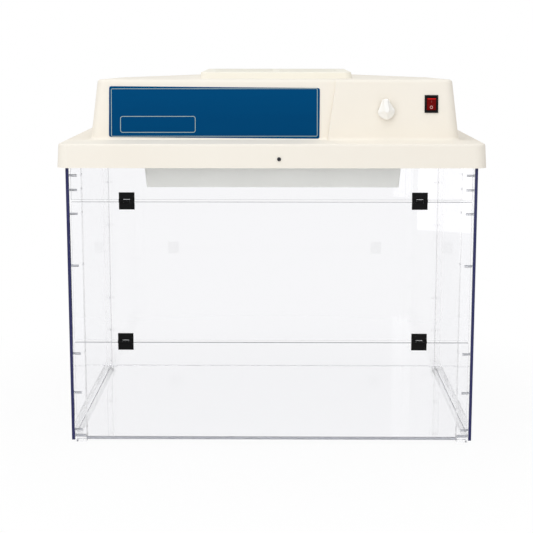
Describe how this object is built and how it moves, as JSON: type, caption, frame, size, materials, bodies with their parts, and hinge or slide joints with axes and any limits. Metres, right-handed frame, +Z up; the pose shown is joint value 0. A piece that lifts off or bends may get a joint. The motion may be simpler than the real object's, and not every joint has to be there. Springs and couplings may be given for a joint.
{
  "type": "pcr workstation",
  "caption": "Bench-top clear cabinet with a hinged front sash and flap under a moulded white hood that holds a fan, a filter, lamps and a control panel.",
  "frame": {"origin": "centre of the cabinet's footprint on the bench", "axes": "+X to the right along the front, +Y from the front to the back, +Z up"},
  "size_m": [0.8202, 0.6388, 0.7209],
  "materials": {
    "hood": "smooth moulded shell",
    "cover": "smooth moulded cover",
    "pad": "open fibre pad",
    "white_plate": "white satin paint",
    "steel": "zinc plated",
    "motor": "die cast",
    "rotor": "black paint",
    "impeller": "moulded",
    "filter_frame": "extruded",
    "media": "pleated fibre paper",
    "gasket": "foam rubber",
    "tube": "coated glass",
    "holder": "moulded",
    "control": "moulded case",
    "chrome": "bright plated",
    "knob": "moulded",
    "black": "moulded",
    "red": "moulded",
    "nameplate": "printed sheet",
    "sleeve": "turned",
    "clear_sheet": "polished clear sheet",
    "clear_bar": "clear sawn bar"
  },
  "bodies": {
    "cabinet": {"hood_shell": "hood", "prefilter_cover": "cover", "prefilter_pad": "pad", "fan_plate": "steel", "fan_spacers": "steel", "motor_plate": "steel", "fan_motor": "motor", "filter_frame": "filter_frame", "filter_media": "media", "filter_gasket": "gasket", "filter_clamps": "steel", "ceiling_plate": "white_plate", "lamp_box": "white_plate", "white_tube": "tube", "ultraviolet_tube": "tube", "white_tube_holders": "holder", "ultraviolet_tube_holders": "holder", "ballast": "steel", "speed_control": "control", "control_nut": "chrome", "rocker_housing": "black", "power_inlet": "black", "inlet_pins": "chrome", "nameplate": "nameplate", "rim_screws": "chrome", "rim_sleeves": "sleeve", "left_wall": "clear_sheet", "right_wall": "clear_sheet", "back_wall": "clear_sheet", "floor_panel": "clear_sheet", "front_left_post": "clear_bar", "front_right_post": "clear_bar", "back_left_bar": "clear_bar", "back_right_bar": "clear_bar", "left_floor_bar": "clear_bar", "right_floor_bar": "clear_bar", "left_wall_screws": "chrome", "right_wall_screws": "chrome", "header_panel": "clear_sheet", "upper_left_hinge_top_leaf": "black", "upper_right_hinge_top_leaf": "black", "upper_left_hinge_pin": "chrome", "upper_right_hinge_pin": "chrome"},
    "sash": {"sash_panel": "clear_sheet", "upper_left_hinge_bottom_leaf": "black", "upper_right_hinge_bottom_leaf": "black", "lower_left_hinge_top_leaf": "black", "lower_right_hinge_top_leaf": "black", "lower_left_hinge_pin": "chrome", "lower_right_hinge_pin": "chrome"},
    "flap": {"flap_panel": "clear_sheet", "lower_left_hinge_bottom_leaf": "black", "lower_right_hinge_bottom_leaf": "black"},
    "fan_rotor": {"rotor_cup": "rotor", "motor_shaft": "steel", "impeller": "impeller"},
    "speed_dial": {"speed_knob": "knob", "control_spindle": "chrome"},
    "switch_rocker": {"power_rocker": "red"}
  },
  "joints": [
    {"name": "sash_hinge", "type": "hinge", "parent": "cabinet", "child": "sash", "pos_m": [0, -0.3032, 0.4805], "axis": [-1, 0, 0], "range_deg": [0, 150]},
    {"name": "flap_hinge", "type": "hinge", "parent": "sash", "child": "flap", "pos_m": [0, -0.3032, 0.205], "axis": [-1, 0, 0], "range_deg": [0, 175]},
    {"name": "fan_spin", "type": "hinge", "parent": "cabinet", "child": "fan_rotor", "pos_m": [0.008, 0, 0.66], "axis": [0, 0, 1], "continuous": true},
    {"name": "speed_turn", "type": "hinge", "parent": "cabinet", "child": "speed_dial", "pos_m": [0.2205, -0.26039, 0.64978], "axis": [0, -0.993, 0.1178], "range_deg": [-135, 135]},
    {"name": "power_tip", "type": "hinge", "parent": "cabinet", "child": "switch_rocker", "pos_m": [0.3075, -0.2495, 0.66268], "axis": [-1, 0, 0], "range_deg": [0, 16]}
  ]
}
